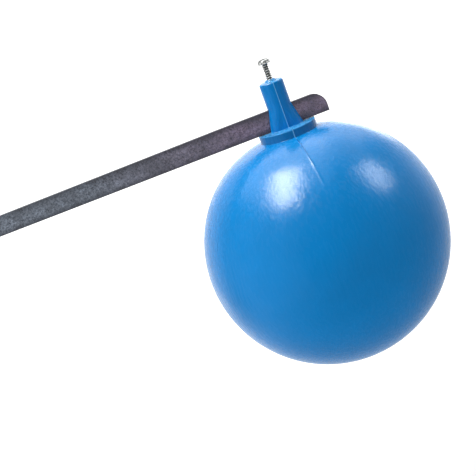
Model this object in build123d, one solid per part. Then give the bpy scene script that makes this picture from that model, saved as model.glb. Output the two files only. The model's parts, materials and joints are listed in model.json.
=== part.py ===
"""Side-inlet float valve for a storage tank, with its lever and float.

A threaded tail passes through the tank wall and is clamped by two backnuts. Behind it a horizontal
barrel holds a sliding piston, whose rubber washer closes on a nozzle. A flat steel bar, pivoted
under the barrel, pushes the piston with its short leg and carries a blow-moulded float on its
long arm. A screw in the float's neck clamps the float to the bar.

Origin: on the inlet axis, in the face of the inner sealing washer that bears on the tank wall.
+X runs along the inlet axis into the tank, +Z is up, and the lever moves in the XZ plane.
The solids are at the low-water pose: the arm hangs on its lower stop and the valve is open.
Screw threads are plain cylinders at their outside diameter. Lengths are in millimetres.
"""
import os
from math import cos, radians, sin, sqrt, tan

from build123d import *

# Lever bar: flat steel, blanked in one piece
arm_reach = 305.0            # pivot to the axis of the float's neck
arm_tip_reach = 28.0         # axis of the neck to the end of the bar
arm_thick = 3.0
arm_width = 12.7             # the parallel stretch at the float
arm_parallel_length = 68.0   # that stretch, from the end of the bar
arm_root_width = 10.5        # the bar narrows towards the pivot
arm_tip_flat = 4.4           # left square under the free end's rounded upper corner
lever_travel = 26.0          # degrees, from the lower stop to the bar level
pivot_boss_dia = 16.0
leg_root_width = 10.0
leg_width = 5.8
leg_lobe_dia = 11.4          # rounded end of the leg, in the piston's slot
lever_corner_radius = 4.0    # inside corners of the blank, at the boss

# Float: hollow blow-moulded ball with a flange, a slotted neck and a solid post
ball_dia = 150.0
ball_wall = 2.0
crown_step = 15              # degrees between the points of the crown's curve
crown_drop = 3.3             # the crown lies this far inside the sphere, under the neck
flange_dia = 35.6
flange_thick = 5.0
flange_rim_radius = 0.75
neck_foot_width = 20.8       # along the bar
neck_foot_depth = 15.0       # across the bar
neck_foot_corner = 2.6
post_dia = 14.8
post_height = 15.8           # above the slot
post_rim_radius = 1.2
lip_dia = 7.4                # plastic raised round the screw
lip_height = 1.5

# Clamp screw: self-tapping, with a pan head
screw_dia = 3.9
screw_stand_out = 11.2       # top of the post to the underside of the head
screw_tip_length = 3.0
screw_point_dia = 1.4
screw_head_dia = 7.5
screw_head_height = 2.7
screw_crown_radius = 2.0

# Tail, wall fixing and waterway
thread_dia = 26.44           # 3/4 inch parallel pipe thread
waterway_dia = 16.0
supply_thread_length = 20.0  # free thread for the supply pipe's connector
supply_groove = 2.0          # groove that ends it, at the outer backnut
supply_groove_depth = 1.0
supply_groove_overhang = 1.0 # the groove starts this far outside the backnut
tail_chamfer = 1.5
tank_wall = 8.0              # wall that the two washers clamp
washer_dia = 40.0
washer_thick = 2.5
nut_flats = 36.0
nut_flange_dia = 41.0
nut_flange_thick = 2.0
nut_thick = 8.0
thread_run_out = 5.0         # bare thread between the inner nut and the collar
relief_depth = 1.3
relief_width = 2.5
collar_flats = 32.0
collar_length = 10.0
hex_chamfer_angle = 30.0     # corners of the nuts, the collar and the end cap

# Barrel
barrel_bore_dia = 22.0
barrel_dia = 30.0
seat_shoulder = 4.0          # collar to the shoulder that the nozzle seats on
pivot_depth = 26.0           # inlet axis to the pivot
leg_slot_length = 24.0       # slot under the barrel
ear_dia = 17.0
ear_root_length = 30.0
ear_thick = 4.5
spout_offset = 6.5           # nozzle face to the axis of the spout
spout_depth = 27.0           # inlet axis to the spout's mouth
spout_bore_dia = 14.0
spout_port_dia = 16.0        # cast opening from the barrel down to the spout's bore
spout_port_step = 2.0        # from the barrel's bore to the start of the spout's
spout_dia = 19.6
spout_bead_dia = 22.0
spout_bead_height = 3.0
cast_radius = 1.5            # where the spout and the ears run into the barrel

# End cap
cap_thread_dia = 28.0
cap_thread_length = 9.0
cap_dia = 33.0
cap_end_thick = 3.5
cap_hex_flats = 19.0
cap_hex_height = 5.0
cap_edge_chamfer = 0.8
cap_end_chamfer = 1.6
gasket_thick = 1.2

# Nozzle
nozzle_flange_thick = 3.0
nozzle_spigot_dia = 18.0
nozzle_spigot_length = 7.0
nozzle_orifice_dia = 9.5
nozzle_rim_dia = 14.0
nozzle_rim_height = 3.0
nozzle_face_width = 1.0      # flat ring that the rubber closes on
key_slot_width = 3.0
key_slot_depth = 1.2

# Piston with its washer and washer cap
piston_length = 46.0         # face of the rubber to the back of the piston
piston_slot_from_face = 22.0
piston_slot_roof = 7.2       # inlet axis to the top of the slot
piston_end_chamfer = 1.0
rubber_dia = 18.2
rubber_thick = 3.5
washer_cap_lip = 1.5
washer_cap_mouth_dia = 15.4
washer_cap_length = 10.0
groove_width = 1.6           # water grooves round the piston
groove_depth = 0.6
groove_from_back = 6.0
groove_pitch = 4.0
groove_count = 2

# Pivot pin with its washer and split pin
pin_dia = 5.0
pin_head_dia = 8.6
pin_head_height = 2.2
pin_head_radius = 0.7
pin_end_chamfer = 0.5
pin_tail = 2.4               # split pin to the end of the pin
pin_washer_dia = 10.5
pin_washer_thick = 1.0
split_pin_dia = 1.5
split_pin_wire = 0.75
split_pin_eye_dia = 3.6
split_pin_leg = 5.0
split_pin_spread = 32.0      # degrees, each leg

# Clearances
fit_gap = 0.08               # running fits and the screw in its post
part_gap = 0.3               # between pieces that move apart
push_gap = 0.05              # between pieces of one assembly, on the radius
lever_side_gap = 0.5

# Worked out from the sizes above
half_travel = radians(lever_travel / 2)
leg_swing = pivot_depth * sin(half_travel)
stroke = 2 * leg_swing
piston_dia = barrel_bore_dia - 2 * fit_gap
outer_nut_x = -tank_wall - washer_thick - nut_thick
groove_x = outer_nut_x - supply_groove_overhang
tail_x = groove_x - supply_thread_length - tail_chamfer
collar_x = washer_thick + nut_thick + thread_run_out
barrel_x = collar_x + collar_length
shoulder_x = barrel_x + seat_shoulder
seat_x = shoulder_x + nozzle_flange_thick + nozzle_rim_height
spout_x = seat_x + spout_offset
rubber_x = seat_x + part_gap + stroke
pivot_x = rubber_x + piston_slot_from_face - leg_swing
cap_face_x = rubber_x + piston_length + part_gap
barrel_end_x = cap_face_x - gasket_thick
lever_gap = arm_thick + 2 * lever_side_gap
ear_face_y = lever_gap / 2 + ear_thick
split_pin_y = ear_face_y + pin_washer_thick + split_pin_dia / 2 + part_gap
slot_floor_z = -arm_width / 2 - part_gap
slot_roof_z = arm_width / 2 + part_gap
post_top_z = slot_roof_z + post_height


def crown_height(radius, ball_radius):
    """Height of the ball's upper half above its centre, at a radius from the neck's axis."""
    share = 1 - (radius / ball_radius) ** 2
    return ball_radius * sqrt(share) - crown_drop * share ** 3


ball_centre_z = slot_floor_z - flange_thick - crown_height(flange_dia / 2, ball_dia / 2)

# Places: the arm's own frame has its origin at the pivot and X along the bar,
# and the float's frame has its origin where the bar crosses the neck.
arm_place = Pos(pivot_x, 0, -pivot_depth) * Rot(0, lever_travel, 0)
float_place = arm_place * Pos(arm_reach, 0, 0)


def turned(*outline):
    """Solid of revolution about the X axis, from its (x, radius) corners in order."""
    return revolve(make_face(Polyline(*outline, close=True)), Axis.X)


def turned_upright(*outline):
    """Solid of revolution about the Z axis, from its (radius, z) corners in order."""
    return revolve(Plane.XZ * make_face(Polyline(*outline, close=True)), Axis.Z)


def hexagon(flats, x, length):
    """Hexagonal prism along X, flats up and down, that starts at x."""
    profile = Rot(0, 0, 30) * RegularPolygon(flats / 2, 6, major_radius=False)
    return extrude(Plane.YZ.offset(x) * profile, length)


def turned_hexagon(flats, x, length):
    """Hexagonal prism whose corners are chamfered by turning both ends."""
    corner = flats / 2 / cos(radians(30))
    fall = (corner - flats / 2) * tan(radians(hex_chamfer_angle))
    rod = turned((x, 0), (x, flats / 2), (x + fall, corner), (x + length - fall, corner),
                 (x + length, flats / 2), (x + length, 0))
    return hexagon(flats, x, length) & rod


def plate(sketch, thick):
    """Plate in the XZ plane, half of its thickness each side."""
    return extrude(Plane.XZ * sketch, thick / 2, both=True)


def make_valve_body():
    thread_r, bore_r = thread_dia / 2, waterway_dia / 2
    relief_x = collar_x - relief_width
    groove_r = thread_r - supply_groove_depth
    tail = turned((tail_x, 0), (tail_x, thread_r - tail_chamfer), (tail_x + tail_chamfer, thread_r),
                  (groove_x, thread_r), (groove_x, groove_r), (groove_x + supply_groove, groove_r),
                  (groove_x + supply_groove, thread_r), (relief_x, thread_r),
                  (relief_x, thread_r - relief_depth), (collar_x, thread_r - relief_depth),
                  (collar_x, 0))
    collar = turned_hexagon(collar_flats, collar_x, collar_length)
    thread_start = barrel_end_x - cap_thread_length
    barrel = turned((barrel_x, 0), (barrel_x, thread_r), (shoulder_x, barrel_dia / 2),
                    (thread_start, barrel_dia / 2), (thread_start, cap_thread_dia / 2),
                    (barrel_end_x, cap_thread_dia / 2), (barrel_end_x, 0))
    spout = Pos(spout_x, 0, 0) * turned_upright(
        (0, 0), (spout_dia / 2, 0), (spout_dia / 2, -spout_depth + spout_bead_height),
        (spout_bead_dia / 2, -spout_depth + spout_bead_height - (spout_bead_dia - spout_dia) / 2),
        (spout_bead_dia / 2, -spout_depth), (0, -spout_depth))
    lug = make_hull(
        (Pos(pivot_x, -pivot_depth) * Circle(ear_dia / 2)).edges()
        + (Pos(pivot_x, -barrel_bore_dia / 4) * Rectangle(ear_root_length, barrel_bore_dia / 2)).edges())
    ears = plate(lug, 2 * ear_face_y)
    with_spout = barrel + spout
    with_spout = fillet(with_spout.edges().filter_by(GeomType.BSPLINE), cast_radius)
    with_ears = barrel + ears
    ear_roots = with_ears.edges().filter_by(Axis.X).filter_by(
        lambda edge: abs(abs(edge.center().Y) - ear_face_y) < push_gap and edge.center().Z < 0)
    with_ears = fillet(ear_roots.sort_by(Axis.Z)[-2:], cast_radius)
    body = tail + collar + with_spout + with_ears
    socket_x = shoulder_x - nozzle_spigot_length
    socket_r = nozzle_spigot_dia / 2 + push_gap
    body -= turned((tail_x, 0), (tail_x, bore_r), (socket_x, bore_r), (socket_x, socket_r),
                   (shoulder_x, socket_r), (shoulder_x, barrel_bore_dia / 2),
                   (barrel_end_x, barrel_bore_dia / 2), (barrel_end_x, 0))
    body -= Pos(spout_x, 0, -spout_depth / 2) * Cylinder(spout_bore_dia / 2, spout_depth)
    port_depth = barrel_bore_dia / 2 + spout_port_step
    body -= Pos(spout_x, 0, -port_depth / 2) * Cylinder(spout_port_dia / 2, port_depth)
    slot_bottom = -pivot_depth - ear_dia / 2
    body -= Pos(pivot_x, 0, slot_bottom / 2) * Box(leg_slot_length, lever_gap, -slot_bottom)
    lever_room = -slot_bottom - barrel_dia / 2
    body -= (Pos(pivot_x, 0, slot_bottom + lever_room / 2)
             * Box(2 * ear_root_length, lever_gap, lever_room))
    body -= (Pos(pivot_x, 0, -pivot_depth) * Rot(90, 0, 0)
             * Cylinder(pin_dia / 2 + push_gap, 4 * ear_face_y))
    return body


def make_seat_nozzle():
    bore_r, spigot_r = nozzle_orifice_dia / 2, nozzle_spigot_dia / 2
    flange_r = barrel_bore_dia / 2 - push_gap
    flange_x = shoulder_x + nozzle_flange_thick
    cone_in = (nozzle_rim_dia - nozzle_orifice_dia) / 2 - nozzle_face_width
    rim_x = seat_x - min(cone_in, nozzle_rim_height)
    nozzle = turned((shoulder_x - nozzle_spigot_length, bore_r),
                    (shoulder_x - nozzle_spigot_length, spigot_r), (shoulder_x, spigot_r),
                    (shoulder_x, flange_r), (flange_x, flange_r), (flange_x, nozzle_rim_dia / 2),
                    (rim_x, nozzle_rim_dia / 2), (seat_x, bore_r + nozzle_face_width),
                    (seat_x, bore_r))
    for side in (-1, 1):
        slot_y = side * (flange_r + nozzle_rim_dia / 2) / 2
        slot_x = flange_x - key_slot_depth / 2
        nozzle -= (Pos(slot_x, slot_y, 0)
                   * Box(key_slot_depth, flange_r - nozzle_rim_dia / 2, key_slot_width))
    return nozzle


def make_end_cap():
    outer, inner = cap_dia / 2, cap_thread_dia / 2 + push_gap
    start_x, end_x = barrel_end_x - cap_thread_length + part_gap, cap_face_x + cap_end_thick
    cap = turned((start_x, inner), (start_x, outer - cap_edge_chamfer),
                 (start_x + cap_edge_chamfer, outer), (end_x - cap_end_chamfer, outer),
                 (end_x, outer - cap_end_chamfer), (end_x, 0), (cap_face_x, 0),
                 (cap_face_x, inner))
    return cap + turned_hexagon(cap_hex_flats, end_x, cap_hex_height)


def make_end_cap_gasket():
    return turned((barrel_end_x, barrel_bore_dia / 2), (barrel_end_x, cap_thread_dia / 2),
                  (cap_face_x, cap_thread_dia / 2), (cap_face_x, barrel_bore_dia / 2))


def make_sealing_washer(x):
    """Washer that starts at x, slipped over the tail."""
    inner = thread_dia / 2 + push_gap
    return turned((x, inner), (x, washer_dia / 2), (x + washer_thick, washer_dia / 2),
                  (x + washer_thick, inner))


def make_backnut(face_x, outward):
    """Flanged backnut whose clamping face is at face_x. outward is 1 or -1, along X."""
    far_x = face_x + outward * nut_thick
    nut = turned_hexagon(nut_flats, min(face_x, far_x), nut_thick)
    step_x = face_x + outward * nut_flange_thick
    nut += turned((face_x, 0), (face_x, nut_flange_dia / 2), (step_x, nut_flange_dia / 2),
                  (step_x, 0))
    return nut - Pos((face_x + far_x) / 2, 0, 0) * Rot(0, 90, 0) * Cylinder(
        thread_dia / 2 + push_gap, nut_thick)


def make_piston():
    spigot_x, body_x = rubber_x + rubber_thick, rubber_x - washer_cap_lip + washer_cap_length
    back_x, outer = rubber_x + piston_length, piston_dia / 2
    piston = turned((spigot_x, 0), (spigot_x, rubber_dia / 2), (body_x, rubber_dia / 2),
                    (body_x, outer), (back_x - piston_end_chamfer, outer),
                    (back_x, outer - piston_end_chamfer), (back_x, 0))
    slot_height = piston_slot_roof + outer
    slot_x = rubber_x + piston_slot_from_face
    piston -= (Pos(slot_x, 0, piston_slot_roof - slot_height / 2)
               * Box(leg_lobe_dia + 2 * part_gap, lever_gap - 2 * fit_gap, slot_height))
    for index in range(groove_count):
        groove_x = back_x - groove_from_back - index * groove_pitch
        piston -= turned((groove_x, outer - groove_depth), (groove_x, barrel_bore_dia / 2),
                         (groove_x + groove_width, barrel_bore_dia / 2),
                         (groove_x + groove_width, outer - groove_depth))
    return piston


def make_piston_washer():
    return turned((rubber_x, 0), (rubber_x, rubber_dia / 2), (rubber_x + rubber_thick, rubber_dia / 2),
                  (rubber_x + rubber_thick, 0))


def make_washer_cap():
    start_x, outer = rubber_x - washer_cap_lip, piston_dia / 2
    end_x, inner = start_x + washer_cap_length, rubber_dia / 2 + push_gap
    return turned((start_x, washer_cap_mouth_dia / 2), (start_x, outer - piston_end_chamfer),
                  (start_x + piston_end_chamfer, outer), (end_x, outer), (end_x, inner),
                  (rubber_x, inner), (rubber_x, washer_cap_mouth_dia / 2))


def make_lever_arm():
    tip_x, floor_z = arm_reach + arm_tip_reach, -arm_width / 2
    bar = make_face(Polyline(
        (0, floor_z), (tip_x, floor_z), (tip_x, floor_z + arm_width),
        (tip_x - arm_parallel_length, floor_z + arm_width), (0, floor_z + arm_root_width),
        close=True))
    upper_tip = bar.vertices().sort_by_distance((tip_x, floor_z + arm_width))[0]
    bar = fillet(upper_tip, arm_width - arm_tip_flat)
    narrow = pivot_boss_dia / 2 + leg_width / 2
    leg = make_face(Polyline(
        (-leg_root_width / 2, 0), (leg_root_width / 2, 0), (leg_width / 2, narrow),
        (leg_width / 2, pivot_depth), (-leg_width / 2, pivot_depth), (-leg_width / 2, narrow),
        close=True))
    leg += Pos(0, pivot_depth) * Circle(leg_lobe_dia / 2)
    outline = bar + Circle(pivot_boss_dia / 2) + Rot(0, 0, lever_travel / 2) * leg
    inside = outline.vertices().filter_by(
        lambda corner: abs(corner.center().length - pivot_boss_dia / 2) < push_gap)
    outline = fillet(inside, lever_corner_radius) - Circle(pin_dia / 2 + fit_gap)
    return arm_place * plate(outline, arm_thick)


def make_pivot_pin():
    tail_y = split_pin_y + pin_tail
    shank_length = ear_face_y + tail_y
    shank = Pos(0, (tail_y - ear_face_y) / 2, 0) * Rot(90, 0, 0) * Cylinder(pin_dia / 2, shank_length)
    shank = chamfer(shank.edges().sort_by(Axis.Y)[-1], pin_end_chamfer)
    head = (Pos(0, -ear_face_y - pin_head_height / 2, 0) * Rot(90, 0, 0)
            * Cylinder(pin_head_dia / 2, pin_head_height))
    head = fillet(head.edges().sort_by(Axis.Y)[0], pin_head_radius)
    pin = shank + head
    pin -= Pos(0, split_pin_y, 0) * Cylinder(split_pin_dia / 2 + push_gap, 2 * pin_dia)
    return Pos(pivot_x, 0, -pivot_depth) * pin


def make_pivot_washer():
    ring = Circle(pin_washer_dia / 2) - Circle(pin_dia / 2 + push_gap)
    washer = extrude(Plane.XZ * ring, -pin_washer_thick)
    return Pos(pivot_x, ear_face_y, -pivot_depth) * washer


def make_split_pin():
    """Eye above the pivot pin, shank through it, and two legs spread below it."""
    wire_r, half = split_pin_wire / 2, pin_dia / 2
    top_z, low_z = half + split_pin_wire, -half - split_pin_wire
    shank = Pos(0, 0, (top_z + low_z) / 2) * Cylinder(split_pin_dia / 2, top_z - low_z)
    eye_r = split_pin_eye_dia / 2 - wire_r
    eye = Pos(0, 0, top_z + eye_r) * Rot(90, 0, 0) * Torus(eye_r, wire_r)
    pin = shank + eye
    for side in (-1, 1):
        leg = Pos(0, 0, -split_pin_leg / 2) * Cylinder(wire_r, split_pin_leg)
        leg_place = Pos(side * (split_pin_dia / 2 - wire_r), 0, low_z + wire_r)
        pin += leg_place * Rot(0, -side * split_pin_spread, 0) * leg
    return Pos(pivot_x, split_pin_y, -pivot_depth) * pin


def ball_of(radius):
    """Solid ball about the Z axis: a true sphere below, slightly flattened above."""
    crown = Spline(*[(radius * sin(radians(angle)), crown_height(radius * sin(radians(angle)), radius))
                     for angle in range(0, 91, crown_step)], tangents=((1, 0), (0, -1)))
    bowl = CenterArc((0, 0), radius, -90, 90)
    axis = Line(crown @ 0, (0, -radius))
    return Pos(0, 0, ball_centre_z) * revolve(Plane.XZ * make_face([crown, bowl, axis]), Axis.Z)


def make_float_ball():
    """Built in the float's frame: the bar along X, the neck's axis along Z."""
    ball = ball_of(ball_dia / 2)
    flange_low_z = slot_floor_z - flange_thick
    skirt_low_z = flange_low_z - ball_wall
    flange = turned_upright((0, skirt_low_z), (flange_dia / 2 - ball_wall, skirt_low_z),
                            (flange_dia / 2, flange_low_z), (flange_dia / 2, slot_floor_z),
                            (0, slot_floor_z))
    flange = fillet(flange.edges().group_by(Axis.Z)[-1], flange_rim_radius)
    foot = Plane.XY.offset(slot_floor_z) * RectangleRounded(
        neck_foot_width, neck_foot_depth, neck_foot_corner)
    shoulder = Plane.XY.offset(slot_roof_z) * Circle(post_dia / 2)
    neck = loft([foot.face(), shoulder.face()])
    post = Pos(0, 0, slot_roof_z + post_height / 2) * Cylinder(post_dia / 2, post_height)
    post = fillet(post.edges().group_by(Axis.Z)[-1], post_rim_radius)
    lip = Pos(0, 0, post_top_z) * turned_upright(
        (0, -lip_height), (lip_dia / 2, -lip_height), (lip_dia / 2, 0),
        (screw_dia / 2 + lip_height / 2, lip_height), (0, lip_height))
    shell = ball + flange + neck + post + lip
    hollow = ball_of(ball_dia / 2 - ball_wall)
    roof = turned_upright((0, flange_low_z - ball_wall), (flange_dia, flange_low_z - ball_wall),
                          (flange_dia, 0), (0, 0))
    shell -= hollow - roof
    shell -= Box(2 * flange_dia, arm_thick + 2 * part_gap, slot_roof_z - slot_floor_z)
    hole_height = post_top_z + lip_height
    shell -= Pos(0, 0, hole_height / 2) * Cylinder(screw_dia / 2 + fit_gap, hole_height)
    return float_place * shell


def make_clamp_screw():
    """Its point stands just clear of the bar's upper edge."""
    shank_r, head_z = screw_dia / 2, post_top_z + screw_stand_out
    point_z = arm_width / 2 + part_gap
    top_z = head_z + screw_head_height
    screw = turned_upright(
        (0, point_z), (screw_point_dia / 2, point_z), (shank_r, point_z + screw_tip_length),
        (shank_r, head_z), (screw_head_dia / 2, head_z), (screw_head_dia / 2, top_z), (0, top_z))
    crown = screw.edges().group_by(Axis.Z)[-1]
    return float_place * fillet(crown, screw_crown_radius)


def main():
    outer_washer_x = -tank_wall - washer_thick
    nodes = {
        "valve_body": make_valve_body(),
        "seat_nozzle": make_seat_nozzle(),
        "end_cap": make_end_cap(),
        "end_cap_gasket": make_end_cap_gasket(),
        "inner_sealing_washer": make_sealing_washer(0),
        "outer_sealing_washer": make_sealing_washer(outer_washer_x),
        "inner_backnut": make_backnut(washer_thick, 1),
        "outer_backnut": make_backnut(outer_washer_x, -1),
        "pivot_pin": make_pivot_pin(),
        "pivot_washer": make_pivot_washer(),
        "pivot_split_pin": make_split_pin(),
        "piston": make_piston(),
        "piston_washer": make_piston_washer(),
        "piston_washer_cap": make_washer_cap(),
        "lever_arm": make_lever_arm(),
        "float_ball": make_float_ball(),
        "clamp_screw": make_clamp_screw(),
    }
    os.makedirs("parts", exist_ok=True)
    for name, shape in nodes.items():
        export_step(shape, f"parts/{name}.step")
    print(f"pivot at x {pivot_x:.3f}, z {-pivot_depth:.3f}; piston stroke {stroke:.3f}")
    print(f"spout at x {spout_x:.3f}; barrel end {barrel_end_x:.3f}; nozzle face {seat_x:.3f}")
    print(f"ball centre {ball_centre_z:.3f} from the bar; post top {post_top_z:.3f}")


main()
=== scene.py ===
"""Side-inlet float valve with its lever and float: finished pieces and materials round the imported
solids. Lengths are in metres, and mm turns millimetres into them."""
import json
import math

import bmesh
import bpy
from mathutils import Matrix, Vector


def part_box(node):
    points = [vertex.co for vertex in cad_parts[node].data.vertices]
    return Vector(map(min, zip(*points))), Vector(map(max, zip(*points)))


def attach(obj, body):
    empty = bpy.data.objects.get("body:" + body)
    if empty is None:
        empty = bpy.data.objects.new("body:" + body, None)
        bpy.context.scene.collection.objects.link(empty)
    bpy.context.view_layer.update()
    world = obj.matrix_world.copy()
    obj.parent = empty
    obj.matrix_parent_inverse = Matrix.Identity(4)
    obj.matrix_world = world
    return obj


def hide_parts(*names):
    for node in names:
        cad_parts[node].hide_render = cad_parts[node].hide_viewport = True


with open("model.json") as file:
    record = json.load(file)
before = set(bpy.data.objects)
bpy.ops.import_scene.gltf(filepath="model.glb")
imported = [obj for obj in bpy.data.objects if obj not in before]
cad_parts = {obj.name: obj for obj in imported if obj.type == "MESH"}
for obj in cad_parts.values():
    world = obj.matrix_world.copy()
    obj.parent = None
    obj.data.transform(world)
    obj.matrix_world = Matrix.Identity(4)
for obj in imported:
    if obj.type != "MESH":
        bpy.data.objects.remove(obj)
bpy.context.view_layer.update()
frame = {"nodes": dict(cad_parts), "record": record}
nodes = frame["nodes"]
joints = {joint["name"]: joint for joint in frame["record"]["behaviour"]["joints"]}
mm = 0.001

# ---------------------------------------------------------------------------------------------
# Valve body. One brass casting: a barrel with a spout and two ears under it, a hexagon collar and
# a tail. Only the bores, the faces, the collar and the threads are machined, so the rest keeps the
# grain and the soft edges of the sand mould.

body_low, body_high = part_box("valve_body")
outer_nut_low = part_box("outer_backnut")[0]
tail_x = body_low.x
barrel_end = body_high.x
spout_mouth = -27 * mm
spout_x = 42 * mm
pivot = Vector(joints["lever_hinge"]["pos_m"])
pipe_pitch = 1.814 * mm
pipe_crest = 13.22 * mm
pipe_root = pipe_crest - 1.16 * mm
waterway = 8 * mm
groove_start, groove_end = outer_nut_low.x - 1 * mm, outer_nut_low.x + 1 * mm
collar_x, collar_length, collar_flats = 15.5 * mm, 10 * mm, 32 * mm
relief_width, relief_depth = 2.5 * mm, 1.3 * mm
shoulder_x = collar_x + collar_length + 4 * mm
barrel_radius, barrel_bore = 15 * mm, 11 * mm
cap_thread_radius, cap_thread_length = 14 * mm, 9 * mm
spout_radius, spout_bore, spout_port = 9.8 * mm, 7 * mm, 8 * mm
bead_radius, bead_height = 11 * mm, 3 * mm
ear_radius, ear_root, ear_face = 8.5 * mm, 30 * mm, 6.5 * mm
leg_slot, lever_gap = 24 * mm, 4 * mm
pin_hole, nozzle_socket = 2.55 * mm, 9.05 * mm
groove_depth, lead_in = 1 * mm, 2.5 * mm
bead_slope, ear_taper, skin_voxel = 1.2 * mm, 0.88, 0.55 * mm
thread_gap = 0.05 * mm
hair = 0.01 * mm  # places nearer than this count as one


def only(piece, mode="OBJECT"):
    """Leaves one piece selected and active, in the mode named."""
    if bpy.context.object and bpy.context.object.mode != "OBJECT":
        bpy.ops.object.mode_set(mode="OBJECT")
    bpy.ops.object.select_all(action="DESELECT")
    piece.select_set(True)
    bpy.context.view_layer.objects.active = piece
    if mode != "OBJECT":
        bpy.ops.object.mode_set(mode=mode)
        bpy.ops.mesh.select_mode(type="VERT")


def carry(piece, matrix):
    """Moves the mesh itself, so that the object stays at the origin."""
    only(piece)
    piece.data.transform(matrix)


def added(name):
    """Names the primitive that was just added, and applies its place to its mesh."""
    piece = bpy.context.object
    piece.name = piece.data.name = name
    bpy.ops.object.transform_apply(location=True, rotation=True, scale=True)
    return piece


def clear():
    """Nothing selected, in object mode, so that an operator acts on new pieces alone."""
    if bpy.context.object and bpy.context.object.mode != "OBJECT":
        bpy.ops.object.mode_set(mode="OBJECT")
    bpy.ops.object.select_all(action="DESELECT")


def pick(piece, kind, wanted):
    """In edit mode, selects the vertices, edges or faces whose corners all pass the test."""
    only(piece, "EDIT")
    bpy.ops.mesh.select_mode(type=kind)
    bpy.ops.mesh.select_all(action="DESELECT")
    mesh = bmesh.from_edit_mesh(piece.data)
    for item in {"VERT": mesh.verts, "EDGE": mesh.edges, "FACE": mesh.faces}[kind]:
        corners = [item] if kind == "VERT" else item.verts
        item.select_set(all(wanted(corner.co) for corner in corners))
    mesh.select_flush_mode()
    bmesh.update_edit_mesh(piece.data)


def modify(piece, kind, **settings):
    """Adds a modifier with these settings and applies it."""
    only(piece)
    modifier = piece.modifiers.new(kind.title(), kind)
    for key, value in settings.items():
        setattr(modifier, key, value)
    bpy.ops.object.modifier_apply(modifier=modifier.name)


def cut(piece, tool, operation="DIFFERENCE"):
    """Applies a boolean with the tool, and deletes the tool."""
    modify(piece, "BOOLEAN", operation=operation, object=tool, solver="EXACT")
    bpy.data.objects.remove(tool)


def soften(piece, width, segments=3, angle=40):
    """Rounds the piece's hard edges."""
    modify(piece, "BEVEL", width=width, segments=segments, limit_method="ANGLE",
           angle_limit=math.radians(angle), use_clamp_overlap=True)


def coat(piece, material):
    """Leaves a piece with this material alone."""
    piece.data.materials.clear()
    piece.data.materials.append(material)


def block(name, low, high):
    """Box between two corners."""
    low, high = Vector(low), Vector(high)
    clear()
    bpy.ops.mesh.primitive_cube_add(size=1, location=(low + high) / 2)
    bpy.context.object.scale = high - low
    return added(name)


def rod(name, radius, start, end, sides=64):
    """Cylinder between two points."""
    start, end = Vector(start), Vector(end)
    clear()
    bpy.ops.mesh.primitive_cylinder_add(
        vertices=sides, radius=radius, depth=(end - start).length, location=(start + end) / 2,
        rotation=(end - start).to_track_quat("Z", "Y").to_euler())
    return added(name)


def drawn(name, outline, way, closed):
    """Wire through (along, radius) points beside the X or Z axis, drawn by extruding a point."""
    corners = [Vector((along, 0, out)) if way == "X" else Vector((out, 0, along))
               for along, out in outline]
    clear()
    bpy.ops.mesh.primitive_plane_add(size=mm, location=corners[0])
    piece = added(name)
    only(piece, "EDIT")
    bpy.ops.mesh.select_all(action="SELECT")
    bpy.ops.mesh.merge(type="CENTER")
    for here, there in zip(corners, corners[1:] + corners[:1] * closed):
        bpy.ops.mesh.extrude_vertices_move(TRANSFORM_OT_translate={"value": there - here})
    return piece


def closed_up(piece):
    """Merges doubled points and turns the faces outwards."""
    only(piece, "EDIT")
    bpy.ops.mesh.select_all(action="SELECT")
    bpy.ops.mesh.remove_doubles(threshold=0.0005 * mm)
    bpy.ops.mesh.normals_make_consistent(inside=False)
    only(piece)
    return piece


def turned(name, outline, way="X", sides=96, closed=False):
    """Solid of revolution about the X or Z axis, spun from its outline."""
    piece = drawn(name, outline, way, closed)
    bpy.ops.mesh.select_all(action="SELECT")
    bpy.ops.mesh.spin(steps=sides, angle=2 * math.pi, center=(0, 0, 0),
                      axis=(way == "X", 0, way == "Z"))
    return closed_up(piece)


def threaded(name, crest, root, pitch, low, high, way="X", sides=64):
    """Solid screw thread: one pitch of the outline is wound up, and both ends are cut square."""
    start = low - 1.5 * pitch
    piece = drawn(name, [(start, root), (start + 0.12 * pitch, root), (start + 0.44 * pitch, crest),
                         (start + 0.60 * pitch, crest), (start + pitch, root)], way, False)
    modify(piece, "SCREW", axis=way, angle=2 * math.pi, screw_offset=pitch, steps=sides,
           render_steps=sides, iterations=int((high - low) / pitch) + 4, use_merge_vertices=True,
           merge_threshold=0.0005 * mm)
    along = (1, 0, 0) if way == "X" else (0, 0, 1)
    for place, outer in ((low, False), (high, True)):
        only(piece, "EDIT")
        bpy.ops.mesh.select_all(action="SELECT")
        bpy.ops.mesh.bisect(plane_co=[place * part for part in along], plane_no=along,
                            use_fill=True, clear_outer=outer, clear_inner=not outer,
                            threshold=0.0001 * mm)
    return closed_up(piece)


def hexagon(name, flats, low, high, chamfer=30):
    """Hexagonal prism along X, a corner at the top, with its corners turned off at both ends."""
    corner = flats / 2 / math.cos(math.radians(30))
    fall = (corner - flats / 2) * math.tan(math.radians(chamfer))
    prism = rod(name, corner, (low, 0, 0), (high, 0, 0), 6)
    cone = turned("turned_corners", [(low, 0), (low, flats / 2), (low + fall, corner),
                                     (high - fall, corner), (high, flats / 2), (high, 0)], sides=120)
    cut(prism, cone, "INTERSECT")
    return prism


def node(tree, kind, **sockets):
    """Shader node. A socket given as another's output is wired, and any other value is set."""
    made = tree.nodes.new("ShaderNode" + kind)
    for name, value in sockets.items():
        socket = made.inputs[name.replace("_", " ")]
        if isinstance(value, bpy.types.NodeSocket):
            tree.links.new(value, socket)
        else:
            socket.default_value = value
    return made


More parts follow.
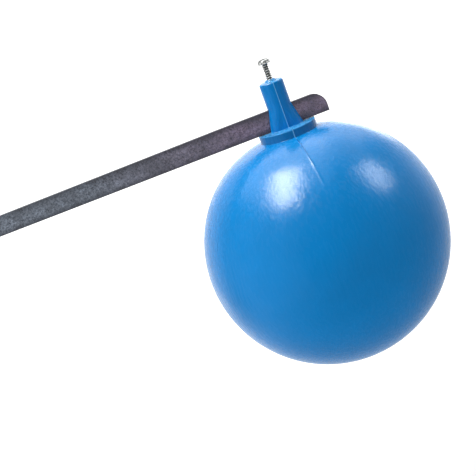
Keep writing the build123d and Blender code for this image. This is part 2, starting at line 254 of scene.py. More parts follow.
def reckon(tree, operation, *values, kind="Math"):
    """Outputs of a Math or VectorMath node, with its inputs wired or set in their order."""
    made = tree.nodes.new("ShaderNode" + kind)
    made.operation = operation
    for socket, value in zip(made.inputs, values):
        if isinstance(value, bpy.types.NodeSocket):
            tree.links.new(value, socket)
        else:
            socket.default_value = value
    return made.outputs


def blank(name, **sockets):
    """New material: itself, its tree, its shader and its Object coordinates."""
    material = bpy.data.materials.new(name)
    material.use_nodes = True
    tree = material.node_tree
    shader = tree.nodes["Principled BSDF"]
    for socket, value in sockets.items():
        shader.inputs[socket.replace("_", " ")].default_value = value
    return material, tree, shader, tree.nodes.new("ShaderNodeTexCoord").outputs["Object"]


def noise(tree, place, scale, detail=3, roughness=0.5):
    return node(tree, "TexNoise", Vector=place, Scale=scale, Detail=detail,
                Roughness=roughness).outputs["Fac"]


def spread(tree, value, low, high, start=0.35, end=0.65):
    """Numbers from low to high as the value goes from start to end."""
    return node(tree, "MapRange", Value=value, From_Min=start, From_Max=end, To_Min=low,
                To_Max=high).outputs["Result"]


def blended(tree, value, first, second, start=0.35, end=0.65):
    """Colour that goes from the first to the second as the value goes from start to end."""
    return node(tree, "MixRGB", Fac=spread(tree, value, 0, 1, start, end), Color1=first,
                Color2=second).outputs["Color"]


def relief(tree, height, depth, under=None):
    """Bump of the depth given, over another bump where one is named."""
    bump = node(tree, "Bump", Height=height, Distance=depth, Strength=1.0)
    if under:
        tree.links.new(under, bump.inputs["Normal"])
    return bump.outputs["Normal"]


def wire(tree, shader, **sockets):
    for name, output in sockets.items():
        tree.links.new(output, shader.inputs[name.replace("_", " ")])


def sand_cast_brass():
    """Grainy skin, dulled in patches, with a few darker casting stains."""
    material, tree, shader, place = blank("sand_cast_brass", Metallic=1.0)
    stain = noise(tree, place, 60, 4, 0.6)
    grain = noise(tree, place, 1600, 5, 0.65)
    clean = blended(tree, grain, (0.42, 0.255, 0.085, 1), (0.64, 0.43, 0.17, 1), 0.3, 0.7)
    dulled = node(tree, "MixRGB", Fac=spread(tree, stain, 0, 0.75, 0.48, 0.72), Color1=clean,
                  Color2=(0.22, 0.125, 0.045, 1)).outputs["Color"]
    swell = relief(tree, noise(tree, place, 240, 3), 0.12 * mm)
    wire(tree, shader, Base_Color=dulled, Roughness=spread(tree, stain, 0.36, 0.58, 0.3, 0.7),
         Normal=relief(tree, grain, 0.10 * mm, swell))
    return material


def turned_brass():
    """Bright, with the fine rings that the lathe tool leaves and a light bloom of tarnish."""
    material, tree, shader, place = blank("turned_brass", Metallic=1.0)
    rings = node(tree, "Mapping", Vector=place, Scale=(9000, 60, 60)).outputs["Vector"]
    lines = noise(tree, rings, 1, 2)
    bloom = noise(tree, place, 90, 4, 0.6)
    wire(tree, shader, Base_Color=blended(tree, bloom, (0.72, 0.48, 0.165, 1), (0.52, 0.32, 0.10, 1)),
         Roughness=spread(tree, lines, 0.20, 0.34), Normal=relief(tree, lines, 0.006 * mm))
    return material


casting_brass, machined_brass = sand_cast_brass(), turned_brass()

barrel = turned("valve_body_brass", [
    (collar_x + 4 * mm, 0), (collar_x + 4 * mm, pipe_crest), (collar_x + collar_length, pipe_crest),
    (shoulder_x, barrel_radius), (barrel_end - cap_thread_length, barrel_radius),
    (barrel_end - cap_thread_length, cap_thread_radius), (barrel_end, cap_thread_radius),
    (barrel_end, 0)])
spout = turned("spout", [
    (0, 0), (0, spout_radius), (spout_mouth + bead_height + bead_slope, spout_radius),
    (spout_mouth + bead_height, bead_radius), (spout_mouth, bead_radius), (spout_mouth, 0)], "Z")
carry(spout, Matrix.Translation((spout_x, 0, 0)))
ears = block("ears", (pivot.x - ear_root / 2, -ear_face, -barrel_bore),
             (pivot.x + ear_root / 2, ear_face, 0))
pick(ears, "FACE", lambda co: co.z < -barrel_bore + hair)
bpy.ops.mesh.extrude_region_move(TRANSFORM_OT_translate={"value": (0, 0, pivot.z + barrel_bore)})
bpy.ops.transform.resize(value=(2 * ear_radius / ear_root * ear_taper, 1, 1),
                         center_override=(pivot.x, 0, pivot.z))
cut(ears, rod("ear_round", ear_radius, (pivot.x, -ear_face, pivot.z), (pivot.x, ear_face, pivot.z)),
    "UNION")
cut(barrel, spout, "UNION")
cut(barrel, ears, "UNION")
modify(barrel, "REMESH", mode="VOXEL", voxel_size=skin_voxel)
modify(barrel, "SMOOTH", factor=0.5, iterations=7)
ear_bottom = pivot.z - ear_radius
for tool in (
        rod("bore", barrel_bore, (shoulder_x, 0, 0), (barrel_end + mm, 0, 0), 96),
        rod("socket", nozzle_socket, (collar_x - 7 * mm, 0, 0), (shoulder_x + mm, 0, 0), 96),
        rod("spout_bore", spout_bore, (spout_x, 0, 0), (spout_x, 0, spout_mouth - mm), 96),
        rod("spout_port", spout_port, (spout_x, 0, 0), (spout_x, 0, -barrel_bore - 2 * mm), 96),
        block("leg_slot", (pivot.x - leg_slot / 2, -lever_gap / 2, -barrel_radius - 0.1 * mm),
              (pivot.x + leg_slot / 2, lever_gap / 2, 0)),
        block("lever_room", (spout_x + bead_radius + 0.4 * mm, -lever_gap / 2, ear_bottom - mm),
              (pivot.x + ear_root, lever_gap / 2, -barrel_radius)),
        rod("pin_hole", pin_hole, (pivot.x, -2 * ear_face, pivot.z),
            (pivot.x, 2 * ear_face, pivot.z))):
    cut(barrel, tool)

collar = hexagon("collar", collar_flats, collar_x, collar_x + collar_length)
soften(collar, 0.4 * mm)
tail = threaded("tail", pipe_crest, pipe_root, pipe_pitch, tail_x, collar_x)
relief_x = collar_x - relief_width
for start, end, depth in ((groove_start, groove_end, groove_depth), (relief_x, collar_x, relief_depth)):
    cut(tail, turned("ring", [(start, pipe_crest - depth), (start, pipe_crest + mm),
                              (end, pipe_crest + mm), (end, pipe_crest - depth)], closed=True))
cut(tail, turned("lead_in", [(tail_x - mm, pipe_crest - lead_in), (tail_x - mm, pipe_crest + mm),
                             (tail_x + lead_in, pipe_crest + mm)], closed=True))
for piece in (collar, tail):
    cut(piece, rod("waterway", waterway if piece is tail else nozzle_socket, (tail_x - mm, 0, 0),
                   (collar_x + 12 * mm, 0, 0), 96))
for piece, material in ((barrel, casting_brass), (collar, machined_brass), (tail, machined_brass)):
    coat(piece, material)
only(barrel)
collar.select_set(True)
tail.select_set(True)
bpy.ops.object.join()
bpy.ops.object.shade_smooth_by_angle(angle=math.radians(35))
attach(barrel, "valve")
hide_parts("valve_body")

# ---------------------------------------------------------------------------------------------
# Nozzle. Moulded in white nylon, so that the supply can't wear it, and pushed into the body
# against the barrel's shoulder. Water leaves through the orifice in its rim.


def white_nylon():
    """Milky, slightly translucent and evenly matt."""
    material, tree, shader, place = blank("white_nylon", Subsurface_Weight=0.15,
                                          Subsurface_Scale=mm, Roughness=0.42)
    cloud = noise(tree, place, 200, 2)
    wire(tree, shader, Base_Color=blended(tree, cloud, (0.80, 0.78, 0.70, 1), (0.87, 0.86, 0.80, 1)),
         Normal=relief(tree, noise(tree, place, 1500, 2), 0.01 * mm))
    return material


coat(nodes["seat_nozzle"], white_nylon())

# ---------------------------------------------------------------------------------------------
# Sealing washers and backnuts. A black rubber washer lies on each side of the tank wall, and a
# flanged brass nut on the tail presses each one home.

thread_bore = pipe_crest + thread_gap
nut_flats, nut_flange, nut_flange_thick = 36 * mm, 20.5 * mm, 2 * mm


def black_rubber():
    """Matt, faintly dusty, with a fine grain."""
    material, tree, shader, place = blank("black_rubber", Specular_IOR_Level=0.35)
    dust = noise(tree, place, 150, 5, 0.6)
    wire(tree, shader, Base_Color=blended(tree, dust, (0.016, 0.016, 0.018, 1), (0.05, 0.05, 0.052, 1)),
         Roughness=spread(tree, dust, 0.55, 0.8),
         Normal=relief(tree, noise(tree, place, 2500, 3), 0.03 * mm))
    return material


def finish(piece, body, node_name, material, smooth=35):
    """Gives a piece its material, smooth shading and body, and hides its CAD node."""
    only(piece)
    coat(piece, material)
    bpy.ops.object.shade_smooth_by_angle(angle=math.radians(smooth))
    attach(piece, body)
    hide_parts(node_name)


washer_rubber = black_rubber()
for name in ("inner_sealing_washer", "outer_sealing_washer"):
    low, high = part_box(name)
    washer = turned(name + "_rubber", [(low.x, thread_bore), (low.x, high.y), (high.x, high.y),
                                       (high.x, thread_bore)], closed=True)
    soften(washer, 0.35 * mm)
    finish(washer, "valve", name, washer_rubber)

for name in ("inner_backnut", "outer_backnut"):
    low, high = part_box(name)
    flange = (low.x, low.x + nut_flange_thick) if low.x > 0 else (high.x - nut_flange_thick, high.x)
    nut = hexagon(name + "_brass", nut_flats, low.x, high.x)
    cut(nut, rod("nut_flange", nut_flange, (flange[0], 0, 0), (flange[1], 0, 0), 96), "UNION")
    cut(nut, rod("nut_bore", thread_bore, (low.x - mm, 0, 0), (high.x + mm, 0, 0), 96))
    soften(nut, 0.3 * mm)
    finish(nut, "valve", name, machined_brass)

# ---------------------------------------------------------------------------------------------
# Piston, its rubber washer and its washer cap. Turned brass that slides in the barrel; it shows
# only through the slot that the lever's leg comes up through.

for name, material in (("piston", machined_brass), ("piston_washer_cap", machined_brass),
                       ("piston_washer", washer_rubber)):
    coat(nodes[name], material)

# ---------------------------------------------------------------------------------------------
# End cap and its gasket. The cap is turned brass with a hexagon to hold it by, screwed over the
# barrel's end on to a thin red fibre ring.

cap_low, cap_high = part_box("end_cap")
cap_hex_height, cap_hex_flats = 5 * mm, 19 * mm
cap_chamfer, grip_depth = 1.6 * mm, 0.4 * mm
cap_end, cap_outer = cap_high.x - cap_hex_height, cap_high.y
cap_inner = cap_thread_radius + thread_gap
cap_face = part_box("end_cap_gasket")[1].x
cap = turned("end_cap_brass", [
    (cap_low.x, cap_inner), (cap_low.x, cap_outer), (cap_end, cap_outer), (cap_end, 0),
    (cap_face, 0), (cap_face, cap_inner), (cap_low.x, cap_inner)])
pick(cap, "EDGE", lambda co: abs(co.x - cap_end) < hair and co.yz.length > cap_outer - hair)
bpy.ops.mesh.bevel(offset=cap_chamfer, segments=1, affect="EDGES")
cut(cap, hexagon("cap_hexagon", cap_hex_flats, cap_end - mm, cap_high.x), "UNION")
for place in (cap_low.x + 3 * mm, cap_low.x + 5.5 * mm):
    cut(cap, turned("grip_ring", [
        (place, cap_outer - grip_depth), (place - grip_depth, cap_outer + 0.1 * mm),
        (place + grip_depth, cap_outer + 0.1 * mm)], closed=True))
soften(cap, 0.25 * mm)
finish(cap, "valve", "end_cap", machined_brass)


def red_fibre():
    """Pressed rag fibre, mottled and matt."""
    material, tree, shader, place = blank("red_fibre", Roughness=0.7)
    mottle = noise(tree, place, 700, 4)
    wire(tree, shader, Base_Color=blended(tree, mottle, (0.26, 0.035, 0.02, 1), (0.42, 0.08, 0.05, 1)),
         Normal=relief(tree, mottle, 0.02 * mm))
    return material


coat(nodes["end_cap_gasket"], red_fibre())

# ---------------------------------------------------------------------------------------------
# Pivot pin, its washer and its split pin. The headed brass pin goes through the ears and the
# lever, and the split pin's legs are spread so that it can't come out.

for name in ("pivot_pin", "pivot_washer", "pivot_split_pin"):
    coat(nodes[name], machined_brass)

# ---------------------------------------------------------------------------------------------
# Lever arm. Blanked from hot-rolled flat steel, with its dark mill scale left on: a long bar for
# the float, a boss at the pivot and a short leg whose round end pushes the piston.

bar_way = Vector(joints["float_slide"]["axis"]).normalized()
neck_way = Vector(joints["screw_slide"]["axis"]).normalized()
side_way = neck_way.cross(bar_way)
arm_turn = Matrix((bar_way, side_way, neck_way)).transposed().to_4x4()
arm_place = Matrix.Translation(pivot) @ arm_turn

arm_reach = 305 * mm
arm_tip = arm_reach + 28 * mm
arm_thick, arm_width, arm_root_width = 3 * mm, 12.7 * mm, 10.5 * mm
arm_parallel, arm_tip_flat = 68 * mm, 4.4 * mm
boss_radius, leg_length, leg_width, leg_root = 8 * mm, 26 * mm, 5.8 * mm, 10 * mm
leg_narrow, lobe_radius, leg_lean = 10.9 * mm, 5.7 * mm, math.radians(13)
corner_radius, lever_hole = 4 * mm, 2.58 * mm
half_thick, half_width = arm_thick / 2, arm_width / 2


def mill_scale():
    """Blue-black scale, speckled and patchy, darker along the bar's long edges. Towards the float it
    turns a warmer grey, where handling has rubbed it."""
    material, tree, shader, place = blank("mill_scale")
    turn = math.atan2(bar_way.z, bar_way.x)
    along = node(tree, "Mapping", Vector=place, Rotation=(0, turn, 0)).outputs["Vector"]
    parts = node(tree, "SeparateXYZ", Vector=along).outputs
    start = pivot.dot(bar_way)
    streaks = noise(tree, node(tree, "Mapping", Vector=along, Scale=(60, 400, 400)).outputs["Vector"],
                    1, 4, 0.6)
    speckle = noise(tree, place, 1000, 5, 0.85)
    patch = noise(tree, place, 75, 4, 0.6)
    warm = blended(tree, speckle, (0.050, 0.037, 0.052, 1), (0.275, 0.215, 0.290, 1), 0.38, 0.62)
    cool = blended(tree, speckle, (0.024, 0.029, 0.040, 1), (0.270, 0.310, 0.375, 1), 0.38, 0.62)
    near = spread(tree, parts["X"], 0, 1, start + 0.18, start + 0.28)
    scale = node(tree, "MixRGB", Fac=near, Color1=cool, Color2=warm).outputs["Color"]
    # Darker towards the bar's long edges, and a little darker all over near the pivot.
    middle = reckon(tree, "SUBTRACT", parts["Z"], pivot.dot(neck_way) - 0.3 * mm)["Value"]
    margin = reckon(tree, "ABSOLUTE", middle)["Value"]
    edge = spread(tree, margin, 0, 0.72, 2.6 * mm, 6 * mm)
    edge = spread(tree, parts["X"], 0.3, edge, start + 10 * mm, start + 30 * mm)
    edged = node(tree, "MixRGB", Fac=edge, Color1=scale, Color2=(0.020, 0.022, 0.030, 1))
    dark = node(tree, "MixRGB", Fac=spread(tree, patch, 0.45, 0, 0.40, 0.58),
                Color1=edged.outputs["Color"], Color2=(0.030, 0.032, 0.040, 1)).outputs["Color"]
    wire(tree, shader, Base_Color=dark, Metallic=spread(tree, patch, 0.35, 0.7, 0.4, 0.7),
         Roughness=spread(tree, speckle, 0.38, 0.62),
         Normal=relief(tree, speckle, 0.05 * mm, relief(tree, streaks, 0.05 * mm)))
    return material


arm = block("lever_arm_steel", (0, -half_thick, -half_width), (arm_tip, half_thick, half_width))
only(arm, "EDIT")
bpy.ops.mesh.select_all(action="SELECT")
bpy.ops.mesh.bisect(plane_co=(arm_tip - arm_parallel, 0, 0), plane_no=(1, 0, 0))
pick(arm, "VERT", lambda co: co.x < mm and co.z > 0)
bpy.ops.transform.translate(value=(0, 0, arm_root_width - arm_width))
pick(arm, "EDGE", lambda co: co.x > arm_tip - mm and co.z > 0)
bpy.ops.mesh.bevel(offset=arm_width - arm_tip_flat, segments=24, affect="EDGES")
cut(arm, rod("boss", boss_radius, (0, -half_thick, 0), (0, half_thick, 0), 96), "UNION")
leg = block("leg", (-leg_width / 2, -half_thick, 0), (leg_width / 2, half_thick, leg_length))
cut(leg, rod("lobe", lobe_radius, (0, -half_thick, leg_length), (0, half_thick, leg_length), 64),
    "UNION")
only(leg, "EDIT")
bpy.ops.mesh.select_all(action="SELECT")
bpy.ops.mesh.bisect(plane_co=(0, 0, leg_narrow), plane_no=(0, 0, 1))
pick(leg, "VERT", lambda co: co.z < mm)
bpy.ops.transform.resize(value=(leg_root / leg_width, 1, 1), center_override=(0, 0, 0))
lean = Matrix.Rotation(-leg_lean, 4, "Y")
carry(leg, lean)
cut(arm, leg, "UNION")
taper = math.atan2(arm_width - arm_root_width, arm_tip - arm_parallel)
flare = math.atan2((leg_root - leg_width) / 2, leg_narrow)
for name, along, edge in (
        ("under_bar", Vector((1, 0, 0)), half_width),
        ("over_bar", Vector((math.cos(taper), 0, math.sin(taper))), arm_root_width - half_width),
        ("before_leg", lean @ Vector((math.sin(flare), 0, math.cos(flare))), leg_root / 2),
        ("behind_leg", lean @ Vector((-math.sin(flare), 0, math.cos(flare))), leg_root / 2)):
    out = Vector((along.z, 0, -along.x)) * (1 if name in ("under_bar", "behind_leg") else -1)
    away = edge * math.cos(flare if "leg" in name else taper) + corner_radius
    reach = math.sqrt((boss_radius + corner_radius) ** 2 - away ** 2)
    round_at = out * away + along * reach
    web = drawn(name, [(0, 0), (round_at.z, round_at.x), (along.z * reach, along.x * reach)], "Z", True)
    bpy.ops.mesh.select_all(action="SELECT")
    bpy.ops.mesh.remove_doubles(threshold=0.001 * mm)
    bpy.ops.mesh.edge_face_add()
    bpy.ops.transform.translate(value=(0, -half_thick, 0))
    bpy.ops.mesh.extrude_region_move(TRANSFORM_OT_translate={"value": (0, arm_thick, 0)})
    closed_up(web)
    cut(web, rod("round", corner_radius, round_at - Vector((0, arm_thick, 0)),
                 round_at + Vector((0, arm_thick, 0)), 64))
    cut(arm, web, "UNION")
cut(arm, rod("pivot_hole", lever_hole, (0, -5 * mm, 0), (0, 5 * mm, 0), 64))
soften(arm, 0.35 * mm)
modify(arm, "TRIANGULATE", min_vertices=5)
carry(arm, arm_place)
finish(arm, "lever", "lever_arm", mill_scale(), 30)

# ---------------------------------------------------------------------------------------------
# Float. One hollow blow-moulding in blue polyethylene: the ball, a round flange, and a neck whose
# slotted foot straddles the bar and whose solid post takes the clamp screw. The mould's parting
# line is a fine ridge down the neck, over the flange and on to the ball.

float_place = Matrix.Translation(pivot + bar_way * arm_reach) @ arm_turn
ball_radius = 75 * mm
slot_gap = 0.3 * mm
slot_floor, slot_roof = -half_width - slot_gap, half_width + slot_gap
flange_radius, flange_thick = 17.8 * mm, 5 * mm
foot_width, foot_depth, foot_corner = 20.8 * mm, 15 * mm, 4.5 * mm
post_radius, post_height, post_rim = 7.4 * mm, 15.8 * mm, 1.2 * mm
lip_radius, lip_height, lip_draft = 3.7 * mm, 1.3 * mm, 0.74
screw_hole = 2.03 * mm
crown_drop = 3.3 * mm
seam_width, seam_height, seam_reach = 0.4 * mm, 0.4 * mm, 54
post_top = slot_roof + post_height
flange_low = slot_floor - flange_thick


def crown(radius):
    """Height of the upper half above the ball's centre, a slightly flattened sphere, at a radius."""
    share = max(1 - (radius / ball_radius) ** 2, 0)
    return ball_radius * math.sqrt(share) - crown_drop * share ** 3


ball_drop = crown(flange_radius) - flange_low
ball_centre = float_place @ Vector((0, 0, -ball_drop))
rings = [math.radians(angle) for angle in range(16, 91, 2)]
bowl = [math.radians(angle) for angle in range(92, 180, 2)]
float_ball = turned("float_moulding", [
    (slot_floor, 0), (slot_floor, flange_radius), (flange_low, flange_radius),
    *[(crown(ball_radius * math.sin(a)) - ball_drop, ball_radius * math.sin(a)) for a in rings],
    *[(ball_radius * math.cos(a) - ball_drop, ball_radius * math.sin(a)) for a in bowl],
    (-ball_radius - ball_drop, 0)], "Z", 192)

corner_steps = 12
clear()
bpy.ops.mesh.primitive_plane_add(size=1, location=(0, 0, slot_floor))
bpy.context.object.scale = (foot_width, foot_depth, 1)
neck = added("neck")
only(neck, "EDIT")
bpy.ops.mesh.select_all(action="SELECT")
bpy.ops.mesh.bevel(offset=foot_corner, segments=corner_steps, affect="VERTICES")
bpy.ops.mesh.select_all(action="SELECT")
bpy.ops.mesh.delete(type="ONLY_FACE")
bpy.ops.mesh.primitive_circle_add(vertices=4 * corner_steps + 4, radius=post_radius,
                                  location=(0, 0, slot_roof))
bpy.ops.mesh.select_all(action="SELECT")
bpy.ops.mesh.bridge_edge_loops(number_cuts=7, interpolation="LINEAR")
for place, rise in ((slot_roof, post_height), (slot_floor, -mm)):
    pick(neck, "EDGE", lambda co: abs(co.z - place) < hair)
    bpy.ops.mesh.extrude_region_move(TRANSFORM_OT_translate={"value": (0, 0, rise)})
    bpy.ops.mesh.edge_face_add()
closed_up(neck)
pick(neck, "EDGE", lambda co: co.z > post_top - hair)
bpy.ops.mesh.bevel(offset=post_rim, segments=5, affect="EDGES")
pick(neck, "FACE", lambda co: co.z > post_top - hair)
bpy.ops.mesh.inset(thickness=post_radius - post_rim - lip_radius)
bpy.ops.mesh.extrude_region_move(TRANSFORM_OT_translate={"value": (0, 0, lip_height)})
bpy.ops.transform.resize(value=(lip_draft, lip_draft, 1), center_override=(0, 0, post_top))
cut(float_ball, neck, "UNION")
soften(float_ball, 0.6 * mm, 4)
cut(float_ball, block("slot", (-2 * flange_radius, -half_thick - slot_gap, slot_floor + hair),
                      (2 * flange_radius, half_thick + slot_gap, slot_roof)))
cut(float_ball, rod("screw_hole", screw_hole, (0, 0, 0), (0, 0, post_top + 5 * mm), 48))
for place in (-1, 0, 1):
    only(float_ball, "EDIT")
    bpy.ops.mesh.select_all(action="SELECT")
    bpy.ops.mesh.bisect(plane_co=(place * seam_width, 0, 0), plane_no=(1, 0, 0),
                        threshold=0.0001 * mm)
seam_low = ball_radius * math.cos(math.radians(seam_reach)) - ball_drop
seam_fade = 12 * mm
for share, top, bottom in ((1.0, post_top - post_rim, seam_low + 2 * seam_fade),
                           (0.5, seam_low + 2 * seam_fade, seam_low + seam_fade),
                           (0.25, seam_low + seam_fade, seam_low)):
    pick(float_ball, "VERT", lambda co: (abs(co.x) < 0.001 * mm and abs(co.y) > post_radius - mm
                                         and bottom < co.z <= top))
    bpy.ops.transform.shrink_fatten(value=share * seam_height)


def up_the_neck(tree, place):
    """Coordinates whose Z runs up the middle of the float's neck, from the middle of the bar."""
    local = node(tree, "Mapping", Vector=place, Location=float_place.translation,
                 Rotation=float_place.to_euler())
    local.vector_type = "TEXTURE"
    return local.outputs["Vector"]


def float_plastic():
    """Blue polyethylene: satin, finely scuffed up and down. It is deeper in colour on the flange's rim
    and on the neck, whose tops are paler with painted light. Along the ridge it is paler up the neck
    and over the flange, and darker on the ball's low ridge."""
    material, tree, shader, place = blank("blue_float_plastic", Specular_IOR_Level=0.10,
                                          Sheen_Weight=0.02, Sheen_Roughness=0.3)
    local = up_the_neck(tree, place)
    parts = node(tree, "SeparateXYZ", Vector=local).outputs
    low, high = flange_low - mm, post_top + mm
    zones = node(tree, "ValToRGB", Fac=spread(tree, parts["Z"], 0, 1, low, high))
    ball_blue, flange_blue = (0.0, 0.228, 0.615, 1), (0.0, 0.135, 0.360, 1)
    neck_blue, top_light_blue = (0.0, 0.185, 0.525, 1), (0.045, 0.300, 0.640, 1)
    stops = zones.color_ramp.elements
    # Painted light: the tops of the flange and the post are paler, as if lit from above.
    stops[0].color, stops[1].color = ball_blue, top_light_blue
    for level, blue in ((flange_low - 0.1 * mm, ball_blue), (flange_low, flange_blue),
                        (slot_floor - 0.7 * mm, flange_blue), (slot_floor - 0.3 * mm, top_light_blue),
                        (slot_floor + 0.1 * mm, top_light_blue), (slot_floor + 0.5 * mm, neck_blue),
                        (post_top - 0.6 * mm, neck_blue), (post_top - 0.1 * mm, top_light_blue)):
        stops.new((level - low) / (high - low)).color = blue
    cloud = noise(tree, place, 18, 3)
    colour = node(tree, "HueSaturation", Value=spread(tree, cloud, 0.93, 1.07),
                  Color=zones.outputs["Color"]).outputs["Color"]
    # Along the ridge the colour is paler up the neck and over the flange, and darker on the ball.
    across = reckon(tree, "ABSOLUTE", parts["X"])["Value"]
    line = spread(tree, across, 0.75, 0, 0.08 * mm, 0.30 * mm)
    line = spread(tree, parts["Z"], 0, line, seam_low, seam_low + 2 * seam_fade)
    thick = spread(tree, parts["Z"], 0, 1, flange_low - mm, flange_low)
    ridge_colour = node(tree, "MixRGB", Fac=thick, Color1=(0.0, 0.09, 0.34, 1),
                   Color2=(0.20, 0.56, 0.90, 1)).outputs["Color"]
    scuffs = noise(tree, node(tree, "Mapping", Vector=local, Scale=(1, 1, 0.2)).outputs["Vector"],
                   520, 1.5)
    swell = relief(tree, noise(tree, place, 60, 2), 0.10 * mm)
    wire(tree, shader, Roughness=spread(tree, scuffs, 0.20, 0.32),
         Base_Color=node(tree, "MixRGB", Fac=line, Color1=colour, Color2=ridge_colour).outputs["Color"],
         Normal=relief(tree, scuffs, 0.15 * mm, swell))
    return material


carry(float_ball, float_place)
finish(float_ball, "float", "float_ball", float_plastic(), 50)

# ---------------------------------------------------------------------------------------------
# Clamp screw. A zinc-plated self-tapping screw with a pan head and a cross recess, driven into
# the post as far as the bar's upper edge.

screw_crest, screw_root, screw_pitch = 1.95 * mm, 1.4 * mm, 1.45 * mm
screw_point, screw_tip = half_width + slot_gap, 3 * mm
head_low = post_top + 11.2 * mm
head_radius, head_height, head_round = 3.75 * mm, 2.7 * mm, 2 * mm
recess_reach, recess_width, recess_depth = 2.1 * mm, 0.75 * mm, 1.7 * mm
recess_draft = (0.35, 0.6, 1)


def zinc_plate():
    """Bright on the head and the thread's crests, with painted shade darkening the thread's root."""
    material, tree, shader, place = blank("zinc_plate", Metallic=1.0)
    speck = noise(tree, place, 1200, 4, 0.6)
    flat = reckon(tree, "MULTIPLY", up_the_neck(tree, place), (1, 1, 0), kind="VectorMath")["Vector"]
    reach = reckon(tree, "LENGTH", flat, kind="VectorMath")["Value"]
    bright = blended(tree, speck, (0.10, 0.11, 0.11, 1), (0.50, 0.51, 0.50, 1), 0.42, 0.58)
    # Painted shade: the colour darkens into the thread's root, where the groove lies in shadow.
    root = spread(tree, reach, 0, 1, screw_root, screw_crest - 0.1 * mm)
    painted_root_shade = node(tree, "MixRGB", Fac=root, Color1=(0.035, 0.038, 0.036, 1), Color2=bright)
    wire(tree, shader, Base_Color=painted_root_shade.outputs["Color"], Roughness=spread(tree, speck, 0.22, 0.40),
         Normal=relief(tree, speck, 0.02 * mm))
    return material


screw = threaded("clamp_screw_zinc", screw_crest, screw_root, screw_pitch, screw_point,
                 head_low + 0.5 * mm, "Z", 40)
cut(screw, turned("screw_point", [
    (screw_point - mm, 0), (screw_point, 0.7 * mm), (screw_point + screw_tip, screw_crest + 0.1 * mm),
    (head_low + mm, screw_crest + 0.1 * mm), (head_low + mm, 0)], "Z", 48), "INTERSECT")
arc = [math.radians(angle) for angle in range(0, 91, 15)]
head = turned("head", [
    (head_low, 0), (head_low, head_radius - 0.2 * mm), (head_low + 0.2 * mm, head_radius),
    *[(head_low + head_height - head_round + head_round * math.sin(a),
       head_radius - head_round + head_round * math.cos(a)) for a in arc],
    (head_low + head_height, 0)], "Z", 64)
for turn in (0, 90):
    wing = block("recess", (-recess_reach, -recess_width / 2, head_low + head_height - recess_depth),
                 (recess_reach, recess_width / 2, head_low + head_height + mm))
    pick(wing, "VERT", lambda co: co.z < head_low + head_height)
    bpy.ops.transform.resize(value=recess_draft, center_override=(0, 0, 0))
    carry(wing, Matrix.Rotation(math.radians(turn), 4, "Z"))
    cut(head, wing)
cut(screw, head, "UNION")
carry(screw, float_place)
finish(screw, "clamp_screw", "clamp_screw", zinc_plate(), 30)

# ---------------------------------------------------------------------------------------------
# Studio: a camera close to the float, soft lamps, a pale floor and white surroundings.

view_turn, view_rise, neck_lean = math.radians(-6.25), math.radians(12.1), math.radians(20.05)
view_width = 0.2900
ball_right, ball_down = 54.3 * mm, 1.9 * mm
lens, sensor = 150.0, 36.0
lamp_distance = 2.5

to_camera = (math.cos(view_rise) * (math.sin(view_turn) * bar_way - math.cos(view_turn) * side_way)
             + math.sin(view_rise) * neck_way)
level = math.cos(view_turn) * bar_way + math.sin(view_turn) * side_way
steep = to_camera.cross(level)
right = level * math.cos(neck_lean) - steep * math.sin(neck_lean)
up = steep * math.cos(neck_lean) + level * math.sin(neck_lean)
aim = ball_centre - right * ball_right + up * ball_down
camera_data = bpy.data.cameras.new("camera")
camera_data.lens, camera_data.sensor_width = lens, sensor
camera = bpy.data.objects.new("camera", camera_data)
camera.matrix_world = (Matrix.Translation(aim + to_camera * view_width * lens / sensor)
                       @ Matrix((right, up, to_camera)).transposed().to_4x4())
bpy.context.scene.collection.objects.link(camera)
bpy.context.scene.camera = camera

float_alone = bpy.data.collections.new("float_alone")
float_alone.objects.link(float_ball)


def lamp(name, direction, width, height, power, lean=0.0, gloss=False):
    """Soft box that faces the ball, in a direction given as the view's right, up and near. A gloss
    lamp makes only the satin float's highlights, and is flagged off the metal."""
    data = bpy.data.lights.new(name, "AREA")
    data.shape, data.size, data.size_y, data.energy = "RECTANGLE", width, height, power
    light = bpy.data.objects.new(name, data)
    way = (right * direction[0] + up * direction[1] + to_camera * direction[2]).normalized()
    side = Matrix.Rotation(math.radians(lean), 3, way) @ up.cross(way).normalized()
    light.matrix_world = (Matrix.Translation(ball_centre + way * lamp_distance)
                          @ Matrix((side, way.cross(side), way)).transposed().to_4x4())
    light.visible_camera = False
    light.visible_diffuse = not gloss
    if gloss:
        light.light_linking.receiver_collection = float_alone
    bpy.context.scene.collection.objects.link(light)


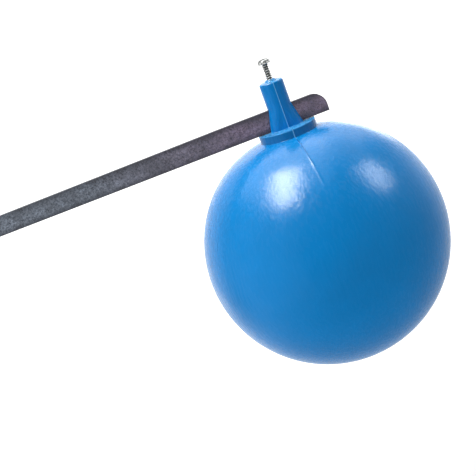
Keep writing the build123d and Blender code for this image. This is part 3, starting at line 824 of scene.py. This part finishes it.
lamp("key_lamp", (-0.575, 0.740, 0.350), 1.3, 1.6, 42)
lamp("top_lamp", (-0.05, 0.97, -0.25), 2.0, 2.0, 26)
lamp("fill_lamp", (-0.85, -0.35, 0.40), 3.6, 3.6, 40)
lamp("key_gloss", (-0.575, 0.740, 0.350), 0.85, 1.75, 420, lean=38, gloss=True)
lamp("haze_gloss", (-0.50, 0.84, 0.05), 3.6, 3.0, 170, gloss=True)
lamp("side_gloss", (0.564, 0.802, 0.195), 0.85, 1.05, 85, gloss=True)
lamp("back_gloss", (-0.05, 0.56, -0.83), 2.0, 2.4, 16, gloss=True)
lamp("left_gloss", (-0.60, 0.12, -0.77), 2.0, 3.0, 10, gloss=True)
lamp("right_gloss", (0.36, 0.00, -0.93), 1.6, 2.6, 36, gloss=True)

world = bpy.data.worlds.new("surroundings")
bpy.context.scene.world = world
world.use_nodes = True


def seen(tree):
    """1 where the camera, a gloss or a clear part looks straight at it, and 0 where it gives light."""
    rays = tree.nodes.new("ShaderNodeLightPath").outputs
    sight = rays["Is Camera Ray"]
    for kind in ("Is Glossy Ray", "Is Transmission Ray"):
        sight = reckon(tree, "MAXIMUM", sight, rays[kind])["Value"]
    return sight


backdrop = world.node_tree.nodes["Background"]
backdrop.inputs["Color"].default_value = (1, 1, 1, 1)
world.node_tree.links.new(spread(world.node_tree, seen(world.node_tree), 0.35, 1.0, 0, 1),
                          backdrop.inputs["Strength"])
bpy.context.scene.view_settings.view_transform = "Standard"

floor_drop, floor_size = 0.35, 60
shade_start, shade_end = 0.4, 1.4
clear()
bpy.ops.mesh.primitive_plane_add(size=floor_size)
floor = added("floor")
floor.location = ball_centre - Vector((0, 0, ball_radius + floor_drop))
paint, tree, shader, spot = blank("floor_paint", Base_Color=(0.50, 0.50, 0.50, 1),
                                  Emission_Color=(1, 1, 1, 1))
# For camera and gloss rays the floor glows white as painted light; the glow is weaker near the object,
# so that its shadow shows there.
away = reckon(tree, "LENGTH", spot, kind="VectorMath")["Value"]
glow = spread(tree, away, 0.25, 1.0, shade_start, shade_end)
tree.links.new(spread(tree, seen(tree), 0, glow, 0, 1), shader.inputs["Emission Strength"])
floor.data.materials.append(paint)

bpy.context.view_layer.update()
